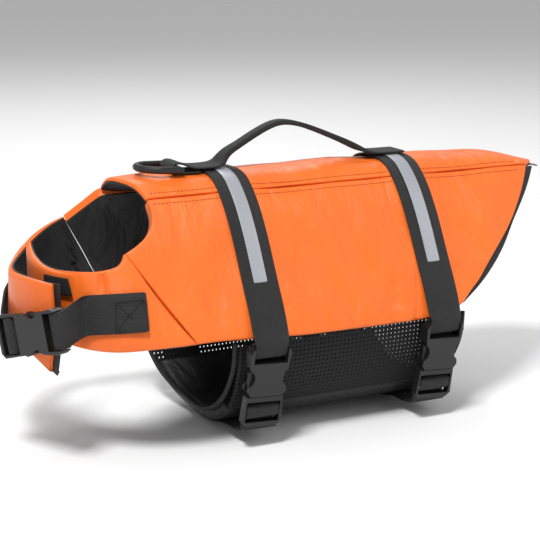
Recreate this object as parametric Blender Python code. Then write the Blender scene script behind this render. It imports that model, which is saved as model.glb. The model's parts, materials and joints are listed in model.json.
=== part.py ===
"""Dog life jacket in its worn form, with the girth straps and the chest strap fastened.

Frame: +X towards the tail, -Y towards the wearer's left side, +Z up. The origin is the point of the
back lining that rests on the wearer's back, midway between the two girth straps.

The shell is one form. A point of it is given by a place along the body and a drop below the crown of
the back. Panels, linings, webbing and tape are all read from that form and moved out or in from it,
so that neighbours keep an even gap.
"""

import math

import bmesh
import bpy
import numpy as np
from mathutils import Matrix, Vector

# ---------------------------------------------------------------- driving dimensions, in metres
STRAP_SPACING = 0.157  # between the centres of the girth straps
FRONT_STRAP_X = -STRAP_SPACING / 2
WEBBING_WIDTH = 0.030
WEBBING_THICK = 0.0015
PAD = 0.0085  # foam-filled shell panel
FLAP_PAD = 0.0085
LINING = 0.0012
SEAM_GAP = 0.0004
LAY_GAP = 0.0006  # between a panel and what lies on it
CROWN_Z = PAD + SEAM_GAP + LINING  # top of the back, above the wearer
SEAM_ROUND = 0.0016  # rounding of a sewn edge
FREE_ROUND = 0.0022  # rounding of a free edge
EDGE_PAD = 0.0034  # what is left of the pad at a free edge, where the cloths are sewn together
EDGE_RUN = 0.0130  # how far in from a free edge the pad reaches its full thickness

# ---------------------------------------------------------------- the form
# Half of the shell's section, from the crown down one side.
SECTION_TABLE = (
    # across, drop
    (0.0000, 0.0000),
    (0.0100, 0.0002),
    (0.0190, 0.0014),
    (0.0275, 0.0052),
    (0.0350, 0.0110),
    (0.0440, 0.0200),
    (0.0530, 0.0320),
    (0.0640, 0.0500),
    (0.0775, 0.0760),
    (0.0860, 0.0900),
    (0.0925, 0.1030),
    (0.0975, 0.1180),
    (0.0995, 0.1340),
    (0.1000, 0.1500),
)
SEAM_DROP = 0.0110  # the seams beside the back panel
SEAM_ACROSS = 0.0350
# The chest flaps turn in at a slanting fold.
FOLD_TOP = (-0.1040, 0.0460)  # x from the front strap, drop
FOLD_FOOT = (-0.0610, 0.1125)
FLAP_FRONT = {"left": -0.1560, "right": -0.1735}  # foremost x of each flap, from the front strap
FAR_SWELL = 0.0060  # how far the right flap bows out beside the chest
OVERLAP_LIFT = 0.0150  # how far the right flap's end stands outside the left flap, sideways

# ---------------------------------------------------------------- outlines, x from the front strap
NECK_RIBS = {
    "left": (
        # x_top, drop_top, x_foot, drop_foot, bow
        (-0.1040, 0.0460, -0.0610, 0.1125, 0.0),
        (-0.0845, 0.0375, -0.0480, 0.1125, 0.0),
        (-0.0745, 0.0240, -0.0360, 0.1130, 0.0),
        (-0.0745, 0.0110, -0.0260, 0.1135, 0.0),
    ),
    "right": (
        (-0.11047, 0.0360, -0.0610, 0.1125, 0.0),
        (-0.1030, 0.0290, -0.0500, 0.1125, 0.0),
        (-0.0945, 0.0205, -0.0380, 0.1130, 0.0),
        (-0.0860, 0.0110, -0.0260, 0.1135, 0.0),
    ),
}
BODY_RIBS = (
    (-0.0380, 0.0110, -0.0130, 0.1145, 0.0),
    (0.0050, 0.0110, 0.0150, 0.1160, 0.0),
    (0.0500, 0.0110, 0.0500, 0.1170, 0.0),
    (0.1000, 0.0110, 0.0900, 0.1175, 0.001),
    (0.1500, 0.0110, 0.1250, 0.1175, 0.002),
    (0.2000, 0.0110, 0.1500, 0.1170, 0.004),
    (0.2450, 0.0110, 0.1660, 0.1150, 0.006),
    (0.2790, 0.0110, 0.1760, 0.1090, 0.008),
)
# Chest flap ribs. The turn goes round the chest, 0 at the fold and 90 at the centre front.
FLAP_RIBS = {
    "left": (
        # turn_top, drop_top, turn_foot, drop_foot
        (0, 0.0460, 0, 0.1125),
        (14, 0.0550, 12, 0.1135),
        (33, 0.0585, 26, 0.1155),
        (48, 0.0590, 42, 0.1175),
        (64, 0.0605, 58, 0.1175),
        (80, 0.0595, 76, 0.1130),
        (96, 0.0555, 94, 0.1060),
        (110, 0.0500, 106, 0.0980),
    ),
    "right": (
        (0, 0.0360, 0, 0.1125),
        (14, 0.0430, 12, 0.1130),
        (28, 0.0520, 26, 0.1140),
        (44, 0.0625, 42, 0.1150),
        (64, 0.0665, 62, 0.1150),
        (84, 0.0660, 82, 0.1160),
        (102, 0.0650, 98, 0.1200),
        (116, 0.0655, 109, 0.1270),
        (125, 0.0655, 115, 0.1340),
    ),
}
# How much lining shows beyond the outer cloth at the shell's rear edges, from seam to foot.
REAR_SHOW = ((0.0, 0.0070), (0.15, 0.0050), (0.4, 0.0025), (0.6, 0.0080), (0.8, 0.0085), (1.0, 0.0030))
FLAP_END_SHOW = 0.0060

# ---------------------------------------------------------------- back panel
NECK_EDGE_X = {"left": -0.0745, "right": -0.0860}
TAIL_SEAM_X = 0.279
TAIL_CENTRE_X = 0.306
TAIL_LINING_SHOW = 0.0100
DROOP_FROM_X = 0.190  # the back flattens and sags behind this line
TAIL_SAG = 0.0040

# ---------------------------------------------------------------- belly band
BELLY_FRONT = ((0, -0.022), (50, -0.023), (100, -0.019), (130, -0.026), (160, -0.031), (180, -0.031))
BELLY_REAR_X = 0.180
BELLY_HALF = 0.0870
BELLY_TOP_DROP = 0.1140
BELLY_DEPTH = 0.0890
BELLY_POWER = 2.3  # squareness of the band's section
MESH_THICK = 0.0014
BELLY_PAD = 0.0125
PAD_FROM = 44.0  # degrees round the section where mesh meets pad
PIPING_RADIUS = 0.0022
PIPING_INSET = ((0, 0.0010), (14, 0.0015), (26, 0.0050), (44, 0.0085), (60, 0.0105), (90, 0.0110))

# ---------------------------------------------------------------- webbing, tape, handle, ring
TAPE_WIDTH = 0.0115
TAPE_THICK = 0.0004
TAPE_END_DROP = 0.0765
BASE_WIDTH = 0.025  # webbing that carries the handle and the ring
GRIP_WIDTH = 0.0105
GRIP_THICK = 0.0040
RING_STOCK = 0.0027  # half-thickness of the ring's bar
RING_HALF_WIDTH = 0.0165
RING_REACH = 0.0290
RING_BAR_X = -0.0385
RING_BAR_LIFT = LAY_GAP + WEBBING_THICK + 0.0004 + RING_STOCK
RING_TILT = 3.0  # degrees, the ring's front end rides up on the neck edge
HANDLE_TABLE = (
    # x from the front strap, height above the crown, width, thickness
    (-0.0180, 0.00135, BASE_WIDTH, WEBBING_THICK),
    (-0.0375, 0.00135, BASE_WIDTH, WEBBING_THICK),
    (-0.0400, 0.00155, BASE_WIDTH, WEBBING_THICK),
    (-0.0426, 0.0030, BASE_WIDTH, WEBBING_THICK),
    (-0.0430, 0.0052, BASE_WIDTH, WEBBING_THICK),
    (-0.0424, 0.0076, BASE_WIDTH, WEBBING_THICK),
    (-0.0398, 0.0095, BASE_WIDTH, WEBBING_THICK),
    (-0.0370, 0.0097, BASE_WIDTH, WEBBING_THICK),
    (-0.0325, 0.0085, BASE_WIDTH, WEBBING_THICK),
    (-0.0260, 0.0052, BASE_WIDTH, WEBBING_THICK),
    (-0.0190, 0.0042, BASE_WIDTH, WEBBING_THICK),
    (-0.0020, 0.0042, BASE_WIDTH, WEBBING_THICK),
    (0.0030, 0.0062, 0.0220, 0.0030),
    (0.0055, 0.0105, 0.0150, 0.0044),
    (0.0110, 0.0150, 0.0115, 0.0046),
    (0.0200, 0.0192, GRIP_WIDTH, GRIP_THICK),
    (0.0300, 0.0248, GRIP_WIDTH, GRIP_THICK),
    (0.0410, 0.0303, GRIP_WIDTH, GRIP_THICK),
    (0.0520, 0.0345, GRIP_WIDTH, GRIP_THICK),
    (0.0620, 0.0352, GRIP_WIDTH, GRIP_THICK),
    (0.0790, 0.0312, GRIP_WIDTH, GRIP_THICK),
    (0.0990, 0.0228, GRIP_WIDTH, GRIP_THICK),
    (0.1190, 0.0143, 0.0115, 0.0046),
    (0.1290, 0.0088, 0.0160, 0.0044),
    (0.1370, 0.0050, 0.0225, 0.0024),
    (0.1450, 0.0041, BASE_WIDTH, WEBBING_THICK),
    (0.1700, 0.0041, BASE_WIDTH, WEBBING_THICK),
)

# ---------------------------------------------------------------- buckles, local to the buckle
BUCKLE_WIDTH = 0.0345
BUCKLE_THICK = 0.0110
FEMALE_LENGTH = 0.0400
MALE_LENGTH = 0.0260
GATHERED = 0.0275  # the webbing's width where it passes through a buckle
BUCKLE_CLEARANCE = 0.0004

CLOTH_BLACK = (0.012, 0.012, 0.013)
CLOTH_ORANGE = (0.93, 0.19, 0.012)


# ================================================================ reading the tables
def curve_through(rows, places):
    """Points of a smooth curve through the rows, at places counted in rows. It runs straight on past both ends."""
    data = np.array(rows, float)
    last = len(data) - 1
    made = []
    for place in places:
        if place < 0:
            made.append(data[0] + (data[1] - data[0]) * place)
            continue
        if place > last:
            made.append(data[-1] + (data[-1] - data[-2]) * (place - last))
            continue
        i = min(int(place), last - 1)
        t = place - i
        start, end = data[i], data[i + 1]
        leave = (end - data[i - 1]) / 2 if i else end - start
        arrive = (data[i + 2] - start) / 2 if i + 2 <= last else end - start
        made.append(
            (2 * t**3 - 3 * t**2 + 1) * start
            + (t**3 - 2 * t**2 + t) * leave
            + (3 * t**2 - 2 * t**3) * end
            + (t**3 - t**2) * arrive
        )
    return np.array(made)


def read(table, place):
    """A two-column table read at a place in its first column."""
    columns = np.array(table, float).T
    return float(np.interp(place, columns[0], columns[1]))


SECTION = curve_through(SECTION_TABLE, np.linspace(0, len(SECTION_TABLE) - 1, 521))
SLOPE = np.gradient(SECTION, axis=0)
SLOPE /= np.linalg.norm(SLOPE, axis=1, keepdims=True)


# ================================================================ the form
def side_sign(side):
    return -1.0 if side == "left" else 1.0


def half_width(drop):
    return float(np.interp(drop, SECTION[:, 1], SECTION[:, 0]))


def shell(side, x, drop, out=0.0):
    """A point moved out from the shell's side, x from the front strap."""
    across, fall = np.interp(drop, SECTION[:, 1], SLOPE[:, 0]), np.interp(drop, SECTION[:, 1], SLOPE[:, 1])
    size = math.hypot(across, fall)
    y = half_width(drop) + out * fall / size
    return Vector((FRONT_STRAP_X + x, side_sign(side) * y, CROWN_Z - drop + out * across / size))


def back(x, across, out=0.0):
    """A point moved out from the back panel, with its drooping tail."""
    reach = abs(across)
    drop = float(np.interp(reach, SECTION[:, 0], SECTION[:, 1]))
    level, fall = np.interp(reach, SECTION[:, 0], SLOPE[:, 0]), np.interp(reach, SECTION[:, 0], SLOPE[:, 1])
    size = math.hypot(level, fall)
    run = max(0.0, x - DROOP_FROM_X) / (TAIL_CENTRE_X - DROOP_FROM_X)
    droop = run**2 * (0.95 * (SEAM_DROP - drop) + TAIL_SAG * max(0.0, 1 - (reach / SEAM_ACROSS) ** 2))
    y = math.copysign(reach + out * fall / size, across) if reach else 0.0
    return Vector((FRONT_STRAP_X + x, y, CROWN_Z - drop - droop + out * level / size))


def fold_x(drop):
    (top_x, top_drop), (foot_x, foot_drop) = FOLD_TOP, FOLD_FOOT
    return top_x + (foot_x - top_x) * (drop - top_drop) / (foot_drop - top_drop)


def flap_surface(side, turn, drop):
    angle = math.radians(turn)
    fold = fold_x(drop)
    reach = fold - FLAP_FRONT[side]
    lift = 0.0
    if side == "right":
        swell = min(1.0, max(0.0, turn / 45))
        past = min(1.0, max(0.0, (turn - 75) / 35))
        lift = FAR_SWELL * swell * swell * (3 - 2 * swell)
        lift += (OVERLAP_LIFT - FAR_SWELL) * past * past * (3 - 2 * past)
    across = (half_width(drop) + lift) * math.cos(angle)
    return Vector((FRONT_STRAP_X + fold - reach * math.sin(angle), side_sign(side) * across, CROWN_Z - drop))


def flap_normal(side, turn, drop):
    round_chest = flap_surface(side, turn + 0.5, drop) - flap_surface(side, turn - 0.5, drop)
    down = flap_surface(side, turn, drop + 0.0005) - flap_surface(side, turn, drop - 0.0005)
    normal = round_chest.cross(down).normalized()
    return -normal if side == "right" else normal


def flap(side, turn, drop, out=0.0):
    """A point moved out from a chest flap."""
    return flap_surface(side, turn, drop) + flap_normal(side, turn, drop) * out


def belly(angle, x, out=0.0):
    """A point moved out from the belly band. The angle is 0 at the left top edge and 180 at the right one."""
    turn = math.radians(angle)
    cosine, sine = math.cos(turn), math.sin(turn)
    across = -math.copysign(abs(cosine) ** (2 / BELLY_POWER), cosine)
    fall = abs(sine) ** (2 / BELLY_POWER)
    normal = Vector(
        (
            0,
            math.copysign(abs(across) ** (BELLY_POWER - 1), across) / BELLY_HALF,
            -(fall ** (BELLY_POWER - 1)) / BELLY_DEPTH,
        )
    ).normalized()
    point = Vector((FRONT_STRAP_X + x, across * BELLY_HALF, CROWN_Z - BELLY_TOP_DROP - fall * BELLY_DEPTH))
    return point + normal * out


# ================================================================ finishes and mesh helpers
def material(name, colour, roughness):
    made = bpy.data.materials.get(name)
    if made:
        return made
    made = bpy.data.materials.new(name)
    made.use_nodes = True
    made.diffuse_color = (*colour, 1)
    shader = made.node_tree.nodes["Principled BSDF"]
    shader.inputs["Base Color"].default_value = (*colour, 1)
    shader.inputs["Roughness"].default_value = roughness
    return made


FINISHES = {
    "orange_cloth": (CLOTH_ORANGE, 0.55),
    "black_lining": (CLOTH_BLACK, 0.75),
    "black_mesh": (CLOTH_BLACK, 0.85),
    "black_webbing": ((0.018, 0.018, 0.018), 0.8),
    "black_plastic": ((0.015, 0.015, 0.016), 0.35),
    "reflective_tape": ((0.42, 0.43, 0.47), 0.4),
}


def add_object(name, verts, faces, finish):
    """Links a mesh as an object of its own, faces out, with its finish."""
    mesh = bpy.data.meshes.new(name)
    mesh.from_pydata([tuple(v) for v in verts], [], faces)
    work = bmesh.new()
    work.from_mesh(mesh)
    bmesh.ops.recalc_face_normals(work, faces=work.faces)
    work.to_mesh(mesh)
    work.free()
    mesh.shade_smooth()
    mesh.set_sharp_from_angle(angle=math.radians(38))
    mesh.materials.append(material(finish, *FINISHES[finish]))
    made = bpy.data.objects.new(name, mesh)
    bpy.context.scene.collection.objects.link(made)
    return made


def rounded_fall(distance, rounding):
    """How far a rounded edge falls away, at a distance in from the edge."""
    if distance >= rounding or rounding <= 0:
        return 0.0
    return rounding - math.sqrt(max(0.0, rounding**2 - (rounding - distance) ** 2))


def pinched(depth, pad, distances, free):
    """A depth inside a padded panel, drawn up where the pad thins towards its free edges."""
    if not pad:
        return depth
    nearest = min([d for d, is_free in zip(distances, free) if is_free] + [EDGE_RUN])
    share = nearest / EDGE_RUN
    full = share * share * (3 - 2 * share)
    return depth - (pad - EDGE_PAD) * (1 - full)


def wall(name, place, stations, downs, depths, finish, roundings=(0, 0, 0, 0), pad=0.0, free=(), beyond=0):
    """A closed wall. place gives a point from a station, a fraction down and a distance out.

    depths are the outer and inner faces' distances in from the form, and roundings are those of the
    outer face at the first station, the last station, the top and the foot. free tells which of those
    edges are free ones, where a panel with a pad thins. The last stations, beyond of them, lie past
    the panel's own edge.
    """
    rows, columns = len(stations), len(downs)
    edge = rows - 1 - beyond
    base = [[place(p, f, 0.0) for f in downs] for p in stations]
    verts = []
    for layer, depth in enumerate(depths):
        for i, p in enumerate(stations):
            for j, f in enumerate(downs):
                edges = (base[0][j], base[edge][j], base[i][0], base[i][-1])
                distances = [(base[min(i, edge)][j] - e).length for e in edges[:2]]
                distances += [(base[i][j] - e).length for e in edges[2:]]
                fall = 0.0
                if layer == 0:
                    fall = max(rounded_fall(d, r) for d, r in zip(distances, roundings))
                inside = depth > 0
                verts.append(place(p, f, -(pinched(depth, pad, distances, free) if inside else depth) - fall))

    def at(layer, i, j):
        return (layer * rows + i) * columns + j

    faces = [
        (at(layer, i, j), at(layer, i + 1, j), at(layer, i + 1, j + 1), at(layer, i, j + 1))
        for layer in (0, 1)
        for i in range(rows - 1)
        for j in range(columns - 1)
    ]
    rim = [(i, 0) for i in range(rows)] + [(rows - 1, j) for j in range(1, columns)]
    rim += [(i, columns - 1) for i in range(rows - 2, -1, -1)] + [(0, j) for j in range(columns - 2, 0, -1)]
    for here, after in zip(rim, rim[1:] + rim[:1]):
        faces.append((at(0, *here), at(0, *after), at(1, *after), at(1, *here)))
    return add_object(name, verts, faces, finish)


def edge_places(inner, lengths, gaps, roundings):
    """Places between the first and last of inner, with lines added close to both ends.

    lengths are the real lengths of the first and last steps, and gaps how far the ends are drawn in.
    """
    inner = list(inner)
    first_step, last_step = inner[1] - inner[0], inner[-1] - inner[-2]
    start, end = inner[0], inner[-1]
    per_first, per_last = first_step / lengths[0], last_step / lengths[1]
    head = [start + gaps[0] * per_first]
    tail = [end - gaps[1] * per_last]
    if roundings[0]:
        head += [start + (gaps[0] + roundings[0] * k) * per_first for k in (0.35, 1.0)]
    if roundings[1]:
        tail = [end - (gaps[1] + roundings[1] * k) * per_last for k in (1.0, 0.35)] + tail
    return head + inner[1:-1] + tail


def ribbon(name, path, across, widths, thicks, finish):
    """A flat strip along a path with square ends. across holds the direction of its width at each point."""
    count = len(path)
    verts, faces = [], []
    for i, point in enumerate(path):
        into = (point - path[i - 1]) if i else (path[1] - point)
        away = (path[i + 1] - point) if i < count - 1 else into
        side = across[i].normalized()
        first, second = side.cross(into).normalized(), side.cross(away).normalized()
        normal = (first + second).normalized()
        stretch = 1 / max(0.6, normal.dot(first))
        for w, t in ((-1, -1), (1, -1), (1, 1), (-1, 1)):
            verts.append(point + side * (w * widths[i] / 2) + normal * (t * thicks[i] / 2 * stretch))
    for i in range(count - 1):
        for k in range(4):
            faces.append((4 * i + k, 4 * i + (k + 1) % 4, 4 * i + 4 + (k + 1) % 4, 4 * i + 4 + k))
    last = 4 * (count - 1)
    faces += [(0, 1, 2, 3), (last + 3, last + 2, last + 1, last)]
    return add_object(name, verts, faces, finish)


def tube(name, path, radius, sides, finish):
    """A round cord along an open path."""
    verts, faces = [], []
    for i, point in enumerate(path):
        along = (path[min(i + 1, len(path) - 1)] - path[max(i - 1, 0)]).normalized()
        first = along.cross(Vector((1, 0, 0))).normalized()
        second = along.cross(first).normalized()
        for k in range(sides):
            angle = 2 * math.pi * k / sides
            verts.append(point + (first * math.cos(angle) + second * math.sin(angle)) * radius)
    for i in range(len(path) - 1):
        for k in range(sides):
            after = (k + 1) % sides
            faces.append((sides * i + k, sides * i + after, sides * (i + 1) + after, sides * (i + 1) + k))
    faces += [tuple(range(sides)), tuple(range(len(verts) - sides, len(verts)))]
    return add_object(name, verts, faces, finish)


# ================================================================ shell panels and linings
SIDE_DOWNS = 8
FLAP_DOWNS = 7


def side_ribs(side):
    return (*NECK_RIBS[side], *BODY_RIBS)


def side_place(side):
    """Placer for a side panel. Stations are counted in ribs and run past the last one where lining shows."""
    neck, whole = NECK_RIBS[side], side_ribs(side)
    last, corner = len(whole) - 1, len(neck) - 1

    def place(station, down, out):
        beyond = max(0.0, station - last)
        station = min(station, last)
        if station <= corner:
            row = curve_through(neck, [station])[0]
        else:
            row = curve_through((neck[-1], *BODY_RIBS), [station - corner])[0]
        x_top, drop_top, x_foot, drop_foot, bow = row
        x = x_top + (x_foot - x_top) * down + bow * 4 * down * (1 - down)
        x += beyond * read(REAR_SHOW, down)
        return shell(side, x, drop_top + (drop_foot - drop_top) * down, out)

    return place


def flap_place(side):
    ribs = FLAP_RIBS[side]

    def place(station, down, out):
        turn_top, drop_top, turn_foot, drop_foot = curve_through(ribs, [station])[0]
        turn = turn_top + (turn_foot - turn_top) * down
        return flap(side, turn, drop_top + (drop_foot - drop_top) * down, out)

    return place


def back_place():
    """Placer for the back panel. Stations run from 0 to 1, and past 1 where lining shows."""

    def place(station, across, out):
        share = (across / SEAM_ACROSS + 1) / 2
        front = NECK_EDGE_X["left"] + (NECK_EDGE_X["right"] - NECK_EDGE_X["left"]) * share
        front -= 0.003 * (1 - (2 * share - 1) ** 2)
        point_of_tail = max(0.0, 1 - abs(2 * share - 1)) ** 0.75
        tail = TAIL_SEAM_X + (TAIL_CENTRE_X - TAIL_SEAM_X) * point_of_tail
        x = front + (tail - front) * min(station, 1.0)
        x += TAIL_LINING_SHOW * max(0.0, station - 1) * point_of_tail
        return back(x, across, out)

    return place


def build_side(side):
    place = side_place(side)
    count = len(side_ribs(side))
    inner = [0, 0.6, 1.3, 2, 2.6, *range(3, count)]
    half = SEAM_GAP / 2
    stations = edge_places(inner, (0.010, 0.022), (half, 0.0), (SEAM_ROUND, FREE_ROUND))
    downs = edge_places(np.linspace(0, 1, SIDE_DOWNS), (0.018, 0.015), (half, 0.0), (SEAM_ROUND, FREE_ROUND))
    wall(
        f"side_panel_{side}",
        place,
        stations,
        downs,
        (0.0, PAD),
        "orange_cloth",
        (SEAM_ROUND, FREE_ROUND, SEAM_ROUND, FREE_ROUND),
        PAD,
        (False, True, False, True),
    )
    depths = (PAD + SEAM_GAP, PAD + SEAM_GAP + LINING)
    free = (False, True, False, True)
    wall(f"side_lining_{side}", place, [*stations, count], downs, depths, "black_lining", pad=PAD, free=free, beyond=1)


def build_flap(side):
    place = flap_place(side)
    count = len(FLAP_RIBS[side])
    inner = [0, 0.5, *range(1, count - 1), count - 1]
    half = SEAM_GAP / 2
    stations = edge_places(inner, (0.006, 0.016), (half, 0.0), (SEAM_ROUND, FREE_ROUND))
    downs = edge_places(np.linspace(0, 1, FLAP_DOWNS), (0.011, 0.011), (0.0, 0.0), (FREE_ROUND, FREE_ROUND))
    wall(
        f"chest_flap_{side}",
        place,
        stations,
        downs,
        (0.0, FLAP_PAD),
        "orange_cloth",
        (SEAM_ROUND, FREE_ROUND, FREE_ROUND, FREE_ROUND),
        FLAP_PAD,
        (False, True, True, True),
    )
    depths = (FLAP_PAD + SEAM_GAP, FLAP_PAD + SEAM_GAP + LINING)
    end = [count - 1 + FLAP_END_SHOW / 0.016] if side == "right" else []
    free = (False, True, True, True)
    name = f"chest_lining_{side}"
    wall(name, place, [*stations, *end], downs, depths, "black_lining", pad=FLAP_PAD, free=free, beyond=len(end))


def build_back():
    half = SEAM_GAP / 2
    inner = np.array([0, 0.06, 0.2, 0.36, 0.52, 0.66, 0.76, 0.85, 0.93, 1.0])
    stations = edge_places(inner, (0.023, 0.025), (0.0, 0.0), (FREE_ROUND, FREE_ROUND))
    across = [-0.035, -0.0305, -0.0255, -0.019, -0.0095, 0, 0.0095, 0.019, 0.0255, 0.0305, 0.035]
    rows = edge_places(across, (0.0055, 0.0055), (half, half), (SEAM_ROUND, SEAM_ROUND))
    wall(
        "back_panel",
        back_place(),
        stations,
        rows,
        (0.0, PAD),
        "orange_cloth",
        (FREE_ROUND, FREE_ROUND, SEAM_ROUND, SEAM_ROUND),
        PAD,
        (True, True, False, False),
    )
    free = (True, True, False, False)
    depths = (PAD + SEAM_GAP, PAD + SEAM_GAP + LINING)
    wall("back_lining", back_place(), [*stations, 2.0], rows, depths, "black_lining", pad=PAD, free=free, beyond=1)


# ================================================================ belly band
def build_belly():
    def place(station, angle, out):
        front = read(BELLY_FRONT, angle)
        return belly(angle, front + (BELLY_REAR_X - front) * station, out)

    lines = list(np.linspace(0, 1, 7))
    pad_lines = edge_places(lines, (0.033, 0.033), (0.0, 0.0), (0.004, 0.004))
    ends = (PAD_FROM + 0.2, 180 - PAD_FROM - 0.2)
    angles = edge_places(np.linspace(*ends, 11), (0.015, 0.015), (0.0, 0.0), (0.003, 0.003))
    wall("belly_pad", place, pad_lines, angles, (0.0, BELLY_PAD), "black_lining", (0.004, 0.004, 0.003, 0.003))
    sides = np.linspace(2, PAD_FROM - 0.2, 6)
    wall("belly_mesh_left", place, lines, sides, (0.0, MESH_THICK), "black_mesh")
    wall("belly_mesh_right", place, lines, 180 - sides, (0.0, MESH_THICK), "black_mesh")
    for end in ("front", "rear"):
        path = []
        for angle in np.linspace(2, 178, 33):
            inset = read(PIPING_INSET, min(angle, 180 - angle))
            x = read(BELLY_FRONT, angle) - PIPING_RADIUS - 0.0004
            if end == "rear":
                x = BELLY_REAR_X + PIPING_RADIUS + 0.0004
            path.append(belly(angle, x, -inset))
        tube(f"belly_piping_{end}", path, PIPING_RADIUS, 6, "black_webbing")


# ================================================================ buckles
def prism(outline, low, high):
    """A bmesh of an outline in u and v, raised in w."""
    work = bmesh.new()
    ring = [[work.verts.new((u, v, w)) for u, v in outline] for w in (low, high)]
    count = len(outline)
    work.faces.new(ring[0])
    work.faces.new(ring[1][::-1])
    for i in range(count):
        after = (i + 1) % count
        work.faces.new((ring[0][i], ring[1][i], ring[1][after], ring[0][after]))
    bmesh.ops.recalc_face_normals(work, faces=work.faces)
    return work


def box(u, v, w):
    return prism(((u[0], v[0]), (u[1], v[0]), (u[1], v[1]), (u[0], v[1])), *w)


def temporary(work):
    mesh = bpy.data.meshes.new("tool")
    work.to_mesh(mesh)
    work.free()
    made = bpy.data.objects.new("tool", mesh)
    bpy.context.scene.collection.objects.link(made)
    return made


def shaped(name, body, cuts, joins, bevel, frame, finish):
    """A solid from a body, cuts and joins, with its edges broken, moved to its frame."""
    made = temporary(body)
    for tools, operation in ((cuts, "DIFFERENCE"), (joins, "UNION")):
        for tool in tools:
            other = temporary(tool)
            modifier = made.modifiers.new("shape", "BOOLEAN")
            modifier.object, modifier.operation, modifier.solver = other, operation, "EXACT"
            graph = bpy.context.evaluated_depsgraph_get()
            mesh = bpy.data.meshes.new_from_object(made.evaluated_get(graph))
            made.modifiers.clear()
            made.data = mesh
            bpy.data.objects.remove(other)
    work = bmesh.new()
    work.from_mesh(made.data)
    bmesh.ops.dissolve_limit(work, angle_limit=math.radians(1), verts=work.verts, edges=work.edges)
    edges = [e for e in work.edges if e.calc_face_angle(0) > math.radians(50)]
    bmesh.ops.bevel(work, geom=edges, offset=bevel, segments=1, affect="EDGES", clamp_overlap=True)
    bmesh.ops.triangulate(work, faces=work.faces)
    work.transform(frame)
    verts = [v.co.copy() for v in work.verts]
    faces = [tuple(v.index for v in f.verts) for f in work.faces]
    work.free()
    bpy.data.objects.remove(made)
    return add_object(name, verts, faces, finish)


def mirrored(points):
    """An outline in u and v from its points on the +v side."""
    return [*points, *((u, -v) for u, v in reversed(points))]


def arc(centre, radius, start, end, steps):
    made = []
    for i in range(steps + 1):
        angle = math.radians(start + (end - start) * i / steps)
        made.append((centre[0] + radius * math.cos(angle), centre[1] + radius * math.sin(angle)))
    return made


def build_buckle(name, frame):
    """A side-release buckle. u runs to the female end, v across and w out from the wearer."""
    half, thick = BUCKLE_WIDTH / 2, BUCKLE_THICK / 2
    slot = GATHERED / 2 + 0.0005
    notch = arc((0.0155, half + 0.0022), 0.0078, 209, 331, 6)
    outline = mirrored([(0.0005, half - 0.0035), (0.0045, half - 0.0008), *notch, (0.036, half), (0.040, half - 0.002)])
    tunnel = box((-0.001, 0.0265), (-0.0135, 0.0135), (-0.0028, 0.0028))
    arm_room = box((-0.001, 0.0235), (-half - 0.002, half + 0.002), (-0.0026, 0.0026))
    web_slot = box((0.0280, 0.0345), (-slot, slot), (-thick - 0.01, thick + 0.01))
    bar_relief = [box((0.0330, 0.0410), (-slot, slot), w) for w in ((0.0022, 0.01), (-0.01, -0.0022))]
    body = prism(outline, -thick, thick)
    shaped(f"{name}_female", body, [tunnel, arm_room, web_slot, *bar_relief], [], 0.0007, frame, "black_plastic")

    frame_outline = mirrored([(-0.0005, half - 0.0015), (-0.0225, half - 0.0005), (-0.026, half - 0.0045)])
    slots = [box(u, (-slot, slot), (-0.01, 0.01)) for u in ((-0.0225, -0.0165), (-0.0112, -0.0055))]
    relief = [box((-0.0170, -0.0108), (-slot, slot), w) for w in ((0.0012, 0.01), (-0.01, -0.0012))]
    tongue = box((-0.002, 0.0245), (-0.0035, 0.0035), (-0.0022, 0.0022))
    arm = [(-0.002, 0.0085), (0.0080, 0.0105), (0.0215, 0.0098), (0.0215, 0.0128), (0.0190, 0.0160)]
    arm += [(0.0145, 0.0152), (0.0090, 0.0150), (-0.002, 0.0125)]
    arms = [prism(arm, -0.0021, 0.0021), prism([(u, -v) for u, v in arm], -0.0021, 0.0021)]
    body = prism(frame_outline, -0.0035, 0.0035)
    shaped(f"{name}_male", body, [*slots, *relief], [tongue, *arms], 0.0005, frame, "black_plastic")


def buckle_frame(female_end, male_end, outward):
    """The matrix of a buckle between the middles of its two ends."""
    u = (female_end - male_end).normalized()
    w = (outward - u * outward.dot(u)).normalized()
    v = w.cross(u)
    origin = female_end - u * FEMALE_LENGTH
    frame = Matrix((u, v, w)).transposed().to_4x4()
    frame.translation = origin
    return frame


FEMALE_LOOP = (
    # u, w along the webbing where it turns round the buckle's bar
    (0.0455, 0.0036),
    (0.0338, 0.0036),
    (0.0322, 0.0020),
    (0.0318, 0.0),
    (0.0322, -0.0020),
    (0.0338, -0.0036),
    (0.0430, -0.0036),
)
MALE_LOOP = (
    # u, w along the webbing where it is threaded through the ladder
    (-0.0300, -0.0050),
    (-0.0217, -0.0048),
    (-0.0198, -0.0026),
    (-0.0188, 0.0008),
    (-0.0173, 0.0029),
    (-0.0140, 0.0031),
    (-0.0106, 0.0029),
    (-0.0089, 0.0008),
    (-0.0082, -0.0022),
    (-0.0096, -0.0047),
    (-0.0135, -0.0053),
)


def in_frame(frame, points):
    return [frame @ Vector((u, 0, w)) for u, w in points]


# ================================================================ straps, tape, handle, ring
GIRTH_BUCKLE = {"female_end": (-0.0985, 0.1215), "male_end": (-0.0880, 0.1850)}  # y, drop
BUCKLE_LEAN = (-0.0015, -0.0055)  # how far forward its two ends lie
GIRTH_DROPS = (0.1160, 0.1000, 0.0840, 0.0680, 0.0520, 0.0370, 0.0240, 0.0150)
CROWN_ACROSS = (0.0300, 0.0240, 0.0160, 0.0080)
UNDER_ANGLES = (162, 152, 142, 132, 122, 112, 100, 88, 76, 64)


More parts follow.
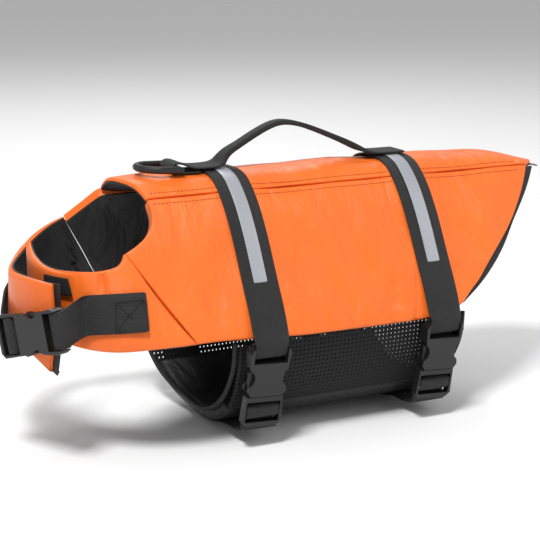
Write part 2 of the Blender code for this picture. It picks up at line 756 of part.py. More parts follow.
def girth_frame(x):
    (y_a, drop_a), (y_b, drop_b) = GIRTH_BUCKLE["female_end"], GIRTH_BUCKLE["male_end"]
    female = Vector((FRONT_STRAP_X + x + BUCKLE_LEAN[0], y_a, CROWN_Z - drop_a))
    male = Vector((FRONT_STRAP_X + x + BUCKLE_LEAN[1], y_b, CROWN_Z - drop_b))
    return buckle_frame(female, male, Vector((0, -1, 0)))


def over_path(x, drops, out):
    """A path over the back, from the left side to the right."""
    left = [shell("left", x, drop, out) for drop in drops]
    crown = [back(x, -a, out) for a in CROWN_ACROSS] + [back(x, 0.0, out)]
    crown += [back(x, a, out) for a in reversed(CROWN_ACROSS)]
    return left + crown + [shell("right", x, drop, out) for drop in reversed(drops)]


def build_girth(name, x):
    frame = girth_frame(x)
    build_buckle(f"{name}_buckle", frame)
    out = LAY_GAP + WEBBING_THICK / 2
    path = in_frame(frame, FEMALE_LOOP)[::-1]
    path += over_path(x, GIRTH_DROPS, out)
    path += [Vector((FRONT_STRAP_X + x, 0.0970, CROWN_Z - 0.1260)), Vector((FRONT_STRAP_X + x, 0.0915, CROWN_Z - 0.1400))]
    path += [belly(angle, x, out) for angle in UNDER_ANGLES]
    path += [Vector((FRONT_STRAP_X + x, y, CROWN_Z - drop)) for y, drop in ((-0.0600, 0.1975), (-0.0720, 0.1955), (-0.0790, 0.1930))]
    path += in_frame(frame, MALE_LOOP)
    count = len(path)
    across = [Vector((1, 0, 0))] * count
    first, last = len(FEMALE_LOOP), len(MALE_LOOP)
    widths = [GATHERED] * first + [WEBBING_WIDTH] * (count - first - last) + [GATHERED] * last
    ribbon(f"{name}_strap", path, across, widths, [WEBBING_THICK] * count, "black_webbing")
    drops = [TAPE_END_DROP, *(d for d in GIRTH_DROPS if d < TAPE_END_DROP - 0.004)]
    path = over_path(x, drops, LAY_GAP + WEBBING_THICK + 0.0003 + TAPE_THICK / 2)
    count = len(path)
    across = [Vector((1, 0, 0))] * count
    ribbon(f"{name}_tape", path, across, [TAPE_WIDTH] * count, [TAPE_THICK] * count, "reflective_tape")


CHEST_FEMALE_END = (-0.1590, -0.0720, 0.0955)  # x from the front strap, y, drop
CHEST_MALE_END = (-0.1880, -0.0110, 0.1120)
CHEST_LEFT = ((13, 0.0870), (20, 0.0872), (27, 0.0876), (34, 0.0882), (41, 0.0890), (48, 0.0900))  # turn, drop
CHEST_RIGHT = ((76, 0.1060), (66, 0.1030), (56, 0.1000), (46, 0.0970), (36, 0.0940), (26, 0.0920))


def build_chest_strap():
    ends = [Vector((FRONT_STRAP_X + x, y, CROWN_Z - drop)) for x, y, drop in (CHEST_FEMALE_END, CHEST_MALE_END)]
    frame = buckle_frame(*ends, Vector((-0.93, -0.36, 0)))
    build_buckle("chest_buckle", frame)
    wide = frame.to_3x3() @ Vector((0, 1, 0))
    out = 2 * LAY_GAP + WEBBING_THICK / 2
    for side, table, loop in (("left", CHEST_LEFT, FEMALE_LOOP), ("right", CHEST_RIGHT, MALE_LOOP[::-1])):
        flat = [flap(side, turn, drop, out) for turn, drop in table]
        steps = [b - a for a, b in zip(flat, flat[1:])]
        steps.append(steps[-1])
        downs = [flap_normal(side, t, d).cross(step) for (t, d), step in zip(table, steps)]
        looped = in_frame(frame, loop)
        path = flat + looped if side == "left" else looped + flat
        downs = [d if d.z < 0 else -d for d in downs]
        facing = wide if wide.z < 0 else -wide
        turned = [facing] * len(looped)
        across = downs + turned if side == "left" else turned + downs
        sizes = [WEBBING_WIDTH] * len(flat), [GATHERED] * len(looped)
        widths = [*sizes[0], *sizes[1]] if side == "left" else [*sizes[1], *sizes[0]]
        ribbon(f"chest_strap_{side}", path, across, widths, [WEBBING_THICK] * len(path), "black_webbing")

    def place(station, down, patch_out):
        return flap("left", 52 + 20 * station, 0.0640 + 0.0130 * down, patch_out)

    lines = np.linspace(0, 1, 5)
    wall("hook_patch", place, lines, np.linspace(0, 1, 3), (-0.0022, -0.0005), "black_mesh")


def build_handle():
    rows = np.array(HANDLE_TABLE)
    path = [Vector((FRONT_STRAP_X + x, 0, CROWN_Z + lift)) for x, lift in rows[:, :2]]
    across = [Vector((0, 1, 0))] * len(path)
    ribbon("handle", path, across, list(rows[:, 2]), list(rows[:, 3]), "black_webbing")


def build_ring():
    """A D-ring. Its straight bar lies across the back, and its bow points to the neck."""
    outline = [(0.0, RING_HALF_WIDTH), (-0.005, RING_HALF_WIDTH)]
    bow = RING_REACH - 0.011
    for i in range(1, 10):
        angle = math.radians(18 * i)
        outline.append((-0.011 - bow * math.sin(angle), RING_HALF_WIDTH * math.cos(angle)))
    outline += [(-0.005, -RING_HALF_WIDTH), (0.0, -RING_HALF_WIDTH)]
    tilt = Matrix.Rotation(math.radians(RING_TILT), 3, "Y")
    centre = Vector((FRONT_STRAP_X + RING_BAR_X, 0, CROWN_Z + RING_BAR_LIFT))
    count, sides, verts, faces = len(outline), 8, [], []
    for i, (x, y) in enumerate(outline):
        before, after = Vector(outline[i - 1]), Vector(outline[(i + 1) % count])
        here = Vector((x, y))
        into, away = (here - before).normalized(), (after - here).normalized()
        mean = (into + away).normalized()
        out = Vector((mean.y, -mean.x))
        stretch = 1 / max(0.5, out.dot(Vector((into.y, -into.x))))
        for k in range(sides):
            angle = math.pi / sides + 2 * math.pi * k / sides
            reach = RING_STOCK / math.cos(math.pi / sides)
            flat = here + out * (reach * math.cos(angle) * stretch)
            verts.append(centre + tilt @ Vector((flat.x, flat.y, reach * math.sin(angle))))
    for i in range(count):
        for k in range(sides):
            a, b = i * sides, ((i + 1) % count) * sides
            faces.append((a + k, a + (k + 1) % sides, b + (k + 1) % sides, b + k))
    add_object("d_ring", verts, faces, "black_plastic")


def main():
    for old in list(bpy.data.objects):
        bpy.data.objects.remove(old)
    build_back()
    for side in ("left", "right"):
        build_side(side)
        build_flap(side)
    build_belly()
    build_girth("front_girth", 0.0)
    build_girth("rear_girth", STRAP_SPACING)
    build_chest_strap()
    build_handle()
    build_ring()


main()
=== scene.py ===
"""Looks for a dog life jacket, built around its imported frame."""

from __future__ import annotations

import json
import logging
import math
from dataclasses import dataclass, field
from enum import Enum

import bmesh
import bpy
import numpy as np
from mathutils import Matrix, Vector
from mathutils.bvhtree import BVHTree

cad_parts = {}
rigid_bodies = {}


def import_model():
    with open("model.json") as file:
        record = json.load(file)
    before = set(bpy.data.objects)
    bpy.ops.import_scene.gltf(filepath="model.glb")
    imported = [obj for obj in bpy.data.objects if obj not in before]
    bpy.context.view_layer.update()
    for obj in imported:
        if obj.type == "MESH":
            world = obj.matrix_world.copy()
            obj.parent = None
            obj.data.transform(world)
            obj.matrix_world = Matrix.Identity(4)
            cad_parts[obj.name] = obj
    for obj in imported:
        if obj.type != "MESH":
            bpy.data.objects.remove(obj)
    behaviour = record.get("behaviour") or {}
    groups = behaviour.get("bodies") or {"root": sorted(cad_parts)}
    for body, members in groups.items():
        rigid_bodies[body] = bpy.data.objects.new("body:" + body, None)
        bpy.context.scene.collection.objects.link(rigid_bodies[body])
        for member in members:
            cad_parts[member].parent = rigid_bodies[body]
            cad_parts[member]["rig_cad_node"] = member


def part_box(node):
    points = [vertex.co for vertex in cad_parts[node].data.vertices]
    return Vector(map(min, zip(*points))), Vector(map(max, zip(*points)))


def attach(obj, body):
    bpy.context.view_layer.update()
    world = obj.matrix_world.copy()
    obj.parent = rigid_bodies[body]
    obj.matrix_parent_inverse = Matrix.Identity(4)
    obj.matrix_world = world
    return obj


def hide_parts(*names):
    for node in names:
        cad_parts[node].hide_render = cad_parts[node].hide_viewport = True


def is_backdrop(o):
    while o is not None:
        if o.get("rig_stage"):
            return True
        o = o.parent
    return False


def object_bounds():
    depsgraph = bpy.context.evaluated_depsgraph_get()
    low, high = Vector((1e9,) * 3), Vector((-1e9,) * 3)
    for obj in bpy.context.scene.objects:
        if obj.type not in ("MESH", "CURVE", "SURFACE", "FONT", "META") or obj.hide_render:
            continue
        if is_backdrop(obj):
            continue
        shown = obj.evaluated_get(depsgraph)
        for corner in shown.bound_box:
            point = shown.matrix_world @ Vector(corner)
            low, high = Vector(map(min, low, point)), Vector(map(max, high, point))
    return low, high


LOG = logging.getLogger("life_jacket")
JACKET = "jacket"
FOLD_GAIN = 3.0  # how strongly the laid folds show
DEEPEST_FOLD = -0.0042  # metres below the cloth
HIGHEST_FOLD = 0.0024  # metres above the cloth
QUAD_BEND, QUAD_SKEW = math.radians(50), math.radians(70)  # limits for joining two triangles
EDGE_CREASE = 0.85  # how crisp a kept edge stays
THREAD_RADIUS = 0.00032  # metres
STITCH_SHARE = 0.68  # length of a stitch over its pitch
SEAM_LIFT, WEBBING_LIFT = 0.0001, 0.0002  # height of thread above panels and above webbing
BINDING_RADIUS = 0.0011  # metres


class Cloth(Enum):
    """Kinds of soft piece."""

    PADDED = "padded"
    SHEET = "sheet"
    TRIM = "trim"


# ---------------------------------------------------------------- shader helpers
class Shader:
    """A material being wired, with short calls for its nodes."""

    def __init__(self, name: str, roughness: float) -> None:
        """Starts a material.

        Args:
            name: The material's name.
            roughness: Roughness of its Principled shader.
        """
        self.material = bpy.data.materials.new(name)
        self.material.use_nodes = True
        self.tree = self.material.node_tree
        self.surface = self.tree.nodes["Principled BSDF"]
        self.surface.inputs["Roughness"].default_value = roughness
        self.place = self.add("ShaderNodeTexCoord").outputs["Object"]

    def add(self, kind: str, **values: object) -> bpy.types.Node:
        """Adds a node.

        Args:
            kind: The node's type.
            **values: Properties to set on it.

        Returns:
            The node.
        """
        node = self.tree.nodes.new(kind)
        for key, value in values.items():
            setattr(node, key, value)
        return node

    def link(self, source: bpy.types.NodeSocket, target: bpy.types.NodeSocket) -> None:
        """Joins two sockets."""
        self.tree.links.new(source, target)

    def group(self, tree: bpy.types.NodeTree, **values: float) -> bpy.types.Node:
        """Adds a node group read at the object's own coordinates.

        Args:
            tree: The group's tree.
            **values: Values of its inputs, by name with underscores for spaces.

        Returns:
            The group node.
        """
        node = self.add("ShaderNodeGroup", node_tree=tree)
        self.link(self.place, node.inputs["Vector"])
        for key, value in values.items():
            node.inputs[key.replace("_", " ")].default_value = value
        return node

    def colours(self, factor: bpy.types.NodeSocket, dark: tuple, light: tuple) -> None:
        """Feeds Base Color with a mix of two colours.

        Args:
            factor: The mix's factor.
            dark: Colour at 0.
            light: Colour at 1.
        """
        mix = self.add("ShaderNodeMix", data_type="RGBA")
        mix.inputs["A"].default_value = (*dark, 1)
        mix.inputs["B"].default_value = (*light, 1)
        self.link(factor, mix.inputs["Factor"])
        self.link(mix.outputs["Result"], self.surface.inputs["Base Color"])

    def bump(self, height: bpy.types.NodeSocket, strength: float, distance: float) -> None:
        """Feeds Normal with a bump.

        Args:
            height: The bump's height.
            strength: Strength of the bump.
            distance: Real height of the bump, in metres.
        """
        node = self.add("ShaderNodeBump")
        node.inputs["Strength"].default_value = strength
        node.inputs["Distance"].default_value = distance
        self.link(height, node.inputs["Height"])
        self.link(node.outputs["Normal"], self.surface.inputs["Normal"])


def new_group(name: str, inputs: dict[str, float], outputs: tuple[str, ...]) -> bpy.types.NodeTree:
    """Makes a shader node group with a Vector input.

    Args:
        name: The group's name.
        inputs: Its float inputs and their values.
        outputs: Its float outputs.

    Returns:
        The group's tree.
    """
    tree = bpy.data.node_groups.new(name, "ShaderNodeTree")
    tree.interface.new_socket("Vector", in_out="INPUT", socket_type="NodeSocketVector")
    for key, value in inputs.items():
        socket = tree.interface.new_socket(key, in_out="INPUT", socket_type="NodeSocketFloat")
        socket.default_value = value
    for key in outputs:
        tree.interface.new_socket(key, in_out="OUTPUT", socket_type="NodeSocketFloat")
    return tree


def wired(tree: bpy.types.NodeTree, kind: str, links: dict, **values: object) -> bpy.types.Node:
    """Adds a node to a tree and feeds its inputs.

    Args:
        tree: The tree.
        kind: The node's type.
        links: Input index or name to a socket or a value.
        **values: Properties to set on the node.

    Returns:
        The node.
    """
    node = tree.nodes.new(kind)
    for key, value in values.items():
        setattr(node, key, value)
    for key, source in links.items():
        if isinstance(source, bpy.types.NodeSocket):
            tree.links.new(source, node.inputs[key])
        else:
            node.inputs[key].default_value = source
    return node


def ribs(
    tree: bpy.types.NodeTree,
    vector: bpy.types.NodeSocket,
    pitch: bpy.types.NodeSocket,
    axis: int,
) -> bpy.types.NodeSocket:
    """A cosine ripple along one axis of a vector, from 0 to 1.

    Args:
        tree: The tree.
        vector: Place to read.
        pitch: Distance from one rib to the next.
        axis: 0, 1 or 2 for X, Y or Z.

    Returns:
        The ripple's socket.
    """
    split = wired(tree, "ShaderNodeSeparateXYZ", {0: vector})
    turns = wired(tree, "ShaderNodeMath", {0: split.outputs[axis], 1: pitch}, operation="DIVIDE")
    angle = wired(tree, "ShaderNodeMath", {0: turns.outputs[0], 1: 2 * math.pi}, operation="MULTIPLY")
    wave = wired(tree, "ShaderNodeMath", {0: angle.outputs[0]}, operation="COSINE")
    halved = {0: wave.outputs[0], 1: 0.5, 2: 0.5}
    return wired(tree, "ShaderNodeMath", halved, operation="MULTIPLY_ADD").outputs[0]


def weave_group() -> bpy.types.NodeTree:
    """A plain weave with soft unevenness.

    Returns:
        The group's tree, with outputs Height and Cloud.
    """
    tree = new_group("weave", {"Pitch": 0.0009, "Cloud Scale": 18.0}, ("Height", "Cloud"))
    start = tree.nodes.new("NodeGroupInput")
    end = tree.nodes.new("NodeGroupOutput")
    vector, pitch = start.outputs["Vector"], start.outputs["Pitch"]
    warp, weft = ribs(tree, vector, pitch, 0), ribs(tree, vector, pitch, 2)
    cross = wired(tree, "ShaderNodeMath", {0: warp, 1: weft}, operation="MAXIMUM")
    tree.links.new(cross.outputs[0], end.inputs["Height"])
    feeds = {"Vector": vector, "Scale": start.outputs["Cloud Scale"], "Detail": 5.0}
    cloud = wired(tree, "ShaderNodeTexNoise", feeds)
    tree.links.new(cloud.outputs["Fac"], end.inputs["Cloud"])
    return tree


def shade_of(colour: tuple[float, float, float], gain: float) -> tuple[float, ...]:
    """A colour with each channel multiplied by a gain."""
    return tuple(channel * gain for channel in colour)


def wrinkle_group() -> bpy.types.NodeTree:
    """Fine creases as a height, longer one way than the other.

    Returns:
        The group's tree, with output Height.
    """
    tree = new_group("fine_wrinkles", {"Scale": 26.0}, ("Height",))
    start = tree.nodes.new("NodeGroupInput")
    end = tree.nodes.new("NodeGroupOutput")
    turned = wired(tree, "ShaderNodeMapping", {"Vector": start.outputs["Vector"]})
    turned.inputs["Rotation"].default_value = (0.0, 0.6, 0.0)
    turned.inputs["Scale"].default_value = (1.6, 1.0, 0.45)
    feeds = {"Vector": turned.outputs[0], "Scale": start.outputs["Scale"], "Detail": 3.0, "Distortion": 0.7}
    noise = wired(tree, "ShaderNodeTexNoise", feeds)
    tree.links.new(noise.outputs["Fac"], end.inputs["Height"])
    return tree


@dataclass(frozen=True)
class ClothFinish:
    """A woven cloth.

    Attributes:
        name: Material name.
        dark: Colour where the weave group's cloud is low.
        light: Colour where that cloud is high.
        roughness: Shader roughness.
        pitch: Thread pitch in metres.
        weave: Strength of the weave's bump.
        wrinkle: Strength of the fine wrinkles' bump.
        sheen: Sheen weight.
    """

    name: str
    dark: tuple[float, float, float]
    light: tuple[float, float, float]
    roughness: float
    pitch: float
    weave: float
    wrinkle: float
    sheen: float

    def build(self, weave: bpy.types.NodeTree, wrinkles: bpy.types.NodeTree) -> bpy.types.Material:
        """Builds the material.

        Args:
            weave: The weave group.
            wrinkles: The wrinkle group.

        Returns:
            The material.
        """
        shader = Shader(self.name, self.roughness)
        shader.surface.inputs["Sheen Weight"].default_value = self.sheen
        threads = shader.group(weave, Pitch=self.pitch)
        shader.colours(threads.outputs["Cloud"], self.dark, self.light)
        folds = shader.group(wrinkles)
        sum_node = shader.add("ShaderNodeMath", operation="MULTIPLY_ADD")
        shader.link(threads.outputs["Height"], sum_node.inputs[0])
        sum_node.inputs[1].default_value = self.weave
        scaled = shader.add("ShaderNodeMath", operation="MULTIPLY")
        shader.link(folds.outputs["Height"], scaled.inputs[0])
        scaled.inputs[1].default_value = self.wrinkle
        shader.link(scaled.outputs[0], sum_node.inputs[2])
        shader.bump(sum_node.outputs[0], 1.0, 0.001)
        return shader.material


@dataclass(frozen=True)
class MeshFinish:
    """An open diamond mesh.

    Attributes:
        name: Material name.
        pitch: Distance between holes in metres.
        open_share: Threshold above which the mesh is a hole.
    """

    name: str = "open_mesh"
    pitch: float = 0.0036
    open_share: float = 0.80

    def build(self) -> bpy.types.Material:
        """Builds the material, with holes in its alpha."""
        shader = Shader(self.name, 0.85)
        shader.surface.inputs["Base Color"].default_value = (0.006, 0.006, 0.0065, 1)
        value = shader.add("ShaderNodeValue")
        value.outputs[0].default_value = self.pitch
        first = ribs(shader.tree, shader.place, value.outputs[0], 0)
        second = ribs(shader.tree, shader.place, value.outputs[0], 2)
        total = wired(shader.tree, "ShaderNodeMath", {0: first, 1: second}, operation="ADD")
        half = wired(shader.tree, "ShaderNodeMath", {0: total.outputs[0], 1: 0.5}, operation="MULTIPLY")
        limit = {0: half.outputs[0], 1: self.open_share}
        solid = wired(shader.tree, "ShaderNodeMath", limit, operation="LESS_THAN")
        shader.link(solid.outputs[0], shader.surface.inputs["Alpha"])
        shader.bump(half.outputs[0], 0.4, 0.0004)
        return shader.material


@dataclass(frozen=True)
class WebbingFinish:
    """Ribbed webbing.

    Attributes:
        name: Material name.
        axis: Axis across which the ribs repeat.
        pitch: Rib pitch in metres.
        colour: Base colour.
    """

    name: str
    axis: int
    pitch: float = 0.0011
    colour: tuple[float, float, float] = (0.006, 0.006, 0.0065)

    def build(self, weave: bpy.types.NodeTree) -> bpy.types.Material:
        """Builds the material.

        Args:
            weave: The weave group, for its unevenness.

        Returns:
            The material.
        """
        shader = Shader(self.name, 0.72)
        shader.surface.inputs["Sheen Weight"].default_value = 0.04
        threads = shader.group(weave, Pitch=self.pitch * 0.9)
        shader.colours(threads.outputs["Cloud"], shade_of(self.colour, 0.6), shade_of(self.colour, 1.9))
        value = shader.add("ShaderNodeValue")
        value.outputs[0].default_value = self.pitch
        across = ribs(shader.tree, shader.place, value.outputs[0], self.axis)
        heights = {0: across, 1: threads.outputs["Height"]}
        both = wired(shader.tree, "ShaderNodeMath", heights, operation="ADD")
        shader.bump(both.outputs[0], 0.7, 0.00035)
        return shader.material


@dataclass(frozen=True)
class PlainFinish:
    """A moulded or coated surface with a faint grain.

    Attributes:
        name: Material name.
        colour: Base colour.
        roughness: Shader roughness.
        grain: Strength of the grain's bump.
        scale: Scale of the grain.
        metallic: Metallic value.
    """

    name: str
    colour: tuple[float, float, float]
    roughness: float
    grain: float
    scale: float
    metallic: float = 0.0

    def build(self, weave: bpy.types.NodeTree) -> bpy.types.Material:
        """Builds the material.

        Args:
            weave: The weave group, whose cloud gives the unevenness.

        Returns:
            The material.
        """
        shader = Shader(self.name, self.roughness)
        shader.surface.inputs["Metallic"].default_value = self.metallic
        cloud = shader.group(weave, Cloud_Scale=self.scale)
        shader.colours(cloud.outputs["Cloud"], shade_of(self.colour, 0.75), shade_of(self.colour, 1.25))
        shader.bump(cloud.outputs["Cloud"], self.grain, 0.0003)
        return shader.material


class Finishes:
    """Every material of the jacket, built once."""

    def __init__(self) -> None:
        """Builds the materials."""
        weave, wrinkles = weave_group(), wrinkle_group()
        orange = ClothFinish(
            name="orange_nylon",
            dark=(0.74, 0.115, 0.004),
            light=(0.95, 0.175, 0.008),
            roughness=0.42,
            pitch=0.0008,
            weave=0.10,
            wrinkle=4.5,
            sheen=0.05,
        )
        lining = ClothFinish(
            name="satin_lining",
            dark=(0.0035, 0.0035, 0.004),
            light=(0.007, 0.007, 0.008),
            roughness=0.50,
            pitch=0.0007,
            weave=0.08,
            wrinkle=4.0,
            sheen=0.02,
        )
        self.orange = orange.build(weave, wrinkles)
        self.lining = lining.build(weave, wrinkles)
        self.mesh = MeshFinish().build()
        self.girth = WebbingFinish("girth_webbing", 0).build(weave)
        self.chest = WebbingFinish("chest_webbing", 2).build(weave)
        self.handle = WebbingFinish("handle_webbing", 1).build(weave)
        self.piping = PlainFinish("piping_tape", (0.007, 0.007, 0.0075), 0.7, 0.5, 900.0).build(weave)
        self.plastic = PlainFinish("black_acetal", (0.008, 0.008, 0.0085), 0.40, 0.25, 1400.0).build(weave)
        self.tape = PlainFinish("reflective_grey", (0.34, 0.35, 0.38), 0.40, 0.25, 1600.0, 0.2).build(weave)
        self.patch = PlainFinish("hook_pile", (0.006, 0.006, 0.006), 0.95, 1.0, 1800.0).build(weave)
        self.thread = PlainFinish("orange_thread", (0.36, 0.045, 0.004), 0.6, 0.2, 900.0).build(weave)
        self.salmon = PlainFinish("salmon_thread", (0.55, 0.24, 0.17), 0.6, 0.2, 900.0).build(weave)


# ---------------------------------------------------------------- soft pieces
@dataclass(frozen=True)
class Crease:
    """A fold between two points. A negative rise is a hollow.

    Attributes:
        start: First point, in metres.
        end: Last point.
        width: Half-width of the fold.
        rise: Height of the fold.
    """

    start: tuple[float, float, float]
    end: tuple[float, float, float]
    width: float
    rise: float

    def height(self, points: np.ndarray) -> np.ndarray:
        """Height of the fold at each point.

        Args:
            points: Points, one a row.

        Returns:
            A height for each.
        """
        start, run = np.array(self.start), np.array(self.end) - np.array(self.start)
        share = np.clip((points - start) @ run / (run @ run), 0, 1)
        gap = np.linalg.norm(points - start - share[:, None] * run, axis=1)
        swell = np.sin(np.pi * np.clip(share * 0.9 + 0.05, 0, 1))
        return self.rise * swell * np.exp(-((gap / self.width) ** 2))


def side_creases(side: float) -> list[Crease]:
    """Folds of one side of the shell.

    Args:
        side: -1 for the left side and 1 for the right.

    Returns:
        The creases.
    """
    rows = (
        # start x, drop of start, end x, drop of end, half-width, rise
        (-0.055, -0.020, -0.035, -0.085, 0.006, -0.0012),
        (-0.048, -0.010, -0.020, -0.060, 0.005, -0.0010),
        (-0.020, -0.060, 0.000, -0.104, 0.005, -0.0014),
        (0.012, -0.030, 0.030, -0.100, 0.007, -0.0014),
        (0.030, -0.014, 0.018, -0.062, 0.005, 0.0010),
        (0.040, -0.070, 0.034, -0.108, 0.004, -0.0018),
        (0.030, -0.092, 0.052, -0.110, 0.004, 0.0012),
        (-0.100, -0.030, -0.120, -0.090, 0.007, -0.0012),
        (-0.128, -0.045, -0.112, -0.098, 0.006, -0.0010),
        (0.100, -0.020, 0.125, -0.070, 0.008, -0.0010),
        (0.150, -0.010, 0.135, -0.050, 0.007, 0.0009),
        (0.095, -0.060, 0.110, -0.095, 0.006, -0.0010),
    )
    shift = 0.0 if side < 0 else 0.011
    made = []
    for x0, z0, x1, z1, width, rise in rows:
        y0, y1 = side * (0.045 + 0.52 * -z0), side * (0.045 + 0.52 * -z1)
        made.append(Crease((x0 + shift, y0, z0), (x1 - shift, y1, z1), width * 1.4, rise))
    return made


def puckers(count: int, x0: float, x1: float, y: float, z: float, seed: int) -> list[Crease]:
    """Short uneven folds that gather along an edge.

    Args:
        count: Number of folds.
        x0: First x.
        x1: Last x.
        y: Height across the body at which they lie.
        z: Height of the edge.
        seed: Seed of their unevenness.

    Returns:
        The creases.
    """
    rng = np.random.default_rng(seed)
    made = []
    for i in range(count):
        x = x0 + (x1 - x0) * (i + rng.uniform(0.2, 0.8)) / count
        depth = rng.uniform(0.010, 0.022)
        made.append(Crease((x, y, z), (x + rng.uniform(-0.004, 0.004), y * 1.04, z - depth), 0.003, -0.0011))
    return made


def linked(name: str, data: bpy.types.ID) -> bpy.types.Object:
    """A new object of some data, placed in the scene."""
    made = bpy.data.objects.new(name, data)
    bpy.context.scene.collection.objects.link(made)
    return made


def baked(holder: bpy.types.Object) -> bpy.types.Mesh:
    """The plain mesh of an object as its modifiers leave it."""
    graph = bpy.context.evaluated_depsgraph_get()
    return bpy.data.meshes.new_from_object(holder.evaluated_get(graph))


def vertex_rows(mesh: bpy.types.Mesh, key: str) -> np.ndarray:
    """A vector of each vertex, one a row."""
    flat = np.zeros(len(mesh.vertices) * 3)
    mesh.vertices.foreach_get(key, flat)
    return flat.reshape(-1, 3)


def refined(node: str, levels: int, sharp: float) -> bpy.types.Object:
    """A smooth copy of a CAD node as a new object.

    Args:
        node: The CAD node.
        levels: Subdivision levels.
        sharp: Edges that turn by more than this many degrees stay crisp.

    Returns:
        The new object.
    """
    source = bpy.data.objects[node]
    work = bmesh.new()
    work.from_mesh(source.data)
    bmesh.ops.remove_doubles(work, verts=work.verts, dist=1e-6)
    limits = {"angle_face_threshold": QUAD_BEND, "angle_shape_threshold": QUAD_SKEW}
    bmesh.ops.join_triangles(work, faces=work.faces, **limits)
    crease = work.edges.layers.float.new("crease_edge")
    for edge in work.edges:
        if len(edge.link_faces) == 2 and edge.calc_face_angle(0) > math.radians(sharp):
            edge[crease] = EDGE_CREASE
    mesh = bpy.data.meshes.new(f"{node}_cloth")
    work.to_mesh(mesh)
    work.free()
    made = linked(f"{node}_cloth", mesh)
    modifier = made.modifiers.new("smooth", "SUBSURF")
    modifier.levels = modifier.render_levels = levels
    final = baked(made)
    made.modifiers.clear()
    made.data = final
    final.shade_smooth()
    return made


def moved_along_normals(piece: bpy.types.Object, creases: list[Crease], ripple: float) -> None:
    """Moves a piece's points along their normals by its folds and a slight unevenness.

    Args:
        piece: The piece.
        creases: Its folds.
        ripple: Height of the unevenness in metres.
    """
    mesh = piece.data
    points, normals = vertex_rows(mesh, "co"), vertex_rows(mesh, "normal")
    height = np.zeros(len(points))
    for crease in creases:
        height += crease.height(points)
    x, y, z = points.T
    height += ripple * np.sin(61 * x + 23 * z) * np.cos(47 * z - 19 * x + 31 * y)
    outward = np.clip(normals[:, 1] * np.sign(y) + np.clip(normals[:, 2], 0, 1), 0, 1)
    points += normals * (np.clip(height * FOLD_GAIN, DEEPEST_FOLD, HIGHEST_FOLD) * outward)[:, None]
    mesh.vertices.foreach_set("co", points.ravel())
    mesh.update()


@dataclass
class SoftPiece:
    """A soft piece that stands for a CAD node.

    Attributes:
        node: The CAD node it replaces.
        material: Its material.
        slot: The record's material slot. Not used.
        cloth: What kind of soft piece it is. Not used.
        levels: Subdivision levels.
        sharp: Angle above which edges stay crisp, in degrees.
        creases: Listed folds.
        ripple: Height of its slight unevenness.
        held: How a sheet is held. Not used.
    """

    node: str
    material: bpy.types.Material
    slot: str
    cloth: Cloth
    levels: int = 2
    sharp: float = 55.0
    creases: list[Crease] = field(default_factory=list)
    ripple: float = 0.0
    held: str = "stretched"

    def build(self) -> bpy.types.Object:
        """Returns:
            The piece.
        """
        piece = refined(self.node, self.levels, self.sharp)
        if self.creases or self.ripple:
            moved_along_normals(piece, self.creases, self.ripple)
        piece.data.materials.clear()
        piece.data.materials.append(self.material)
        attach(piece, JACKET)
        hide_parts(self.node)
        LOG.info("%s: %d faces", piece.name, len(piece.data.polygons))
        return piece


# ---------------------------------------------------------------- stitches
class Stitcher:
    """Lays rows of stitches on a surface with a Geometry Nodes tree."""

    def __init__(self) -> None:
        """Builds the tree."""
        tree = bpy.data.node_groups.new("stitches", "GeometryNodeTree")
        face = tree.interface
        face.new_socket("Geometry", in_out="INPUT", socket_type="NodeSocketGeometry")
        face.new_socket("Geometry", in_out="OUTPUT", socket_type="NodeSocketGeometry")
        self.sockets = {}
        inputs = {"Pitch": "Float", "Length": "Float", "Radius": "Float", "Thread": "Material"}
        for key, kind in inputs.items():
            socket = face.new_socket(key, in_out="INPUT", socket_type=f"NodeSocket{kind}")
            self.sockets[key] = socket.identifier
        start, end = tree.nodes.new("NodeGroupInput"), tree.nodes.new("NodeGroupOutput")
        curve = wired(tree, "GeometryNodeMeshToCurve", {"Mesh": start.outputs["Geometry"]})
        points = wired(tree, "GeometryNodeCurveToPoints", {"Curve": curve.outputs[0]}, mode="LENGTH")
        tree.links.new(start.outputs["Pitch"], points.inputs["Length"])
        shape = wired(tree, "GeometryNodeMeshCylinder", {"Vertices": 6, "Depth": start.outputs["Length"]})
        tree.links.new(start.outputs["Radius"], shape.inputs["Radius"])
        copies = wired(tree, "GeometryNodeInstanceOnPoints", {"Points": points.outputs["Points"]})
        tree.links.new(shape.outputs["Mesh"], copies.inputs["Instance"])
        tree.links.new(points.outputs["Rotation"], copies.inputs["Rotation"])
        real = wired(tree, "GeometryNodeRealizeInstances", {0: copies.outputs[0]})
        finish = wired(tree, "GeometryNodeSetMaterial", {"Geometry": real.outputs[0]})
        tree.links.new(start.outputs["Thread"], finish.inputs["Material"])
        tree.links.new(finish.outputs[0], end.inputs[0])
        self.tree = tree

    def sew(
        self,
        name: str,
        lines: list[list[Vector]],
        thread: bpy.types.Material,
        pitch: float,
    ) -> None:
        """Bakes stitches along lines and rides them on the jacket.

        Args:
            name: The piece's name.
            lines: Lines of points that lie on the cloth.
            thread: Thread material.
            pitch: Distance between stitches in metres.
        """
        verts, edges = [], []
        for line in lines:
            first = len(verts)
            verts += [tuple(p) for p in line]
            edges += [(i, i + 1) for i in range(first, len(verts) - 1)]
        mesh = bpy.data.meshes.new(name)
        mesh.from_pydata(verts, edges, [])
        piece = linked(name, mesh)
        modifier = piece.modifiers.new("stitches", "NODES")
        modifier.node_group = self.tree
        values = {"Pitch": pitch, "Length": pitch * STITCH_SHARE, "Radius": THREAD_RADIUS, "Thread": thread}
        for key, value in values.items():
            modifier[self.sockets[key]] = value
        final = baked(piece)
        piece.modifiers.clear()
        piece.data = final
        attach(piece, JACKET)
        LOG.info("%s: %d faces", name, len(final.polygons))


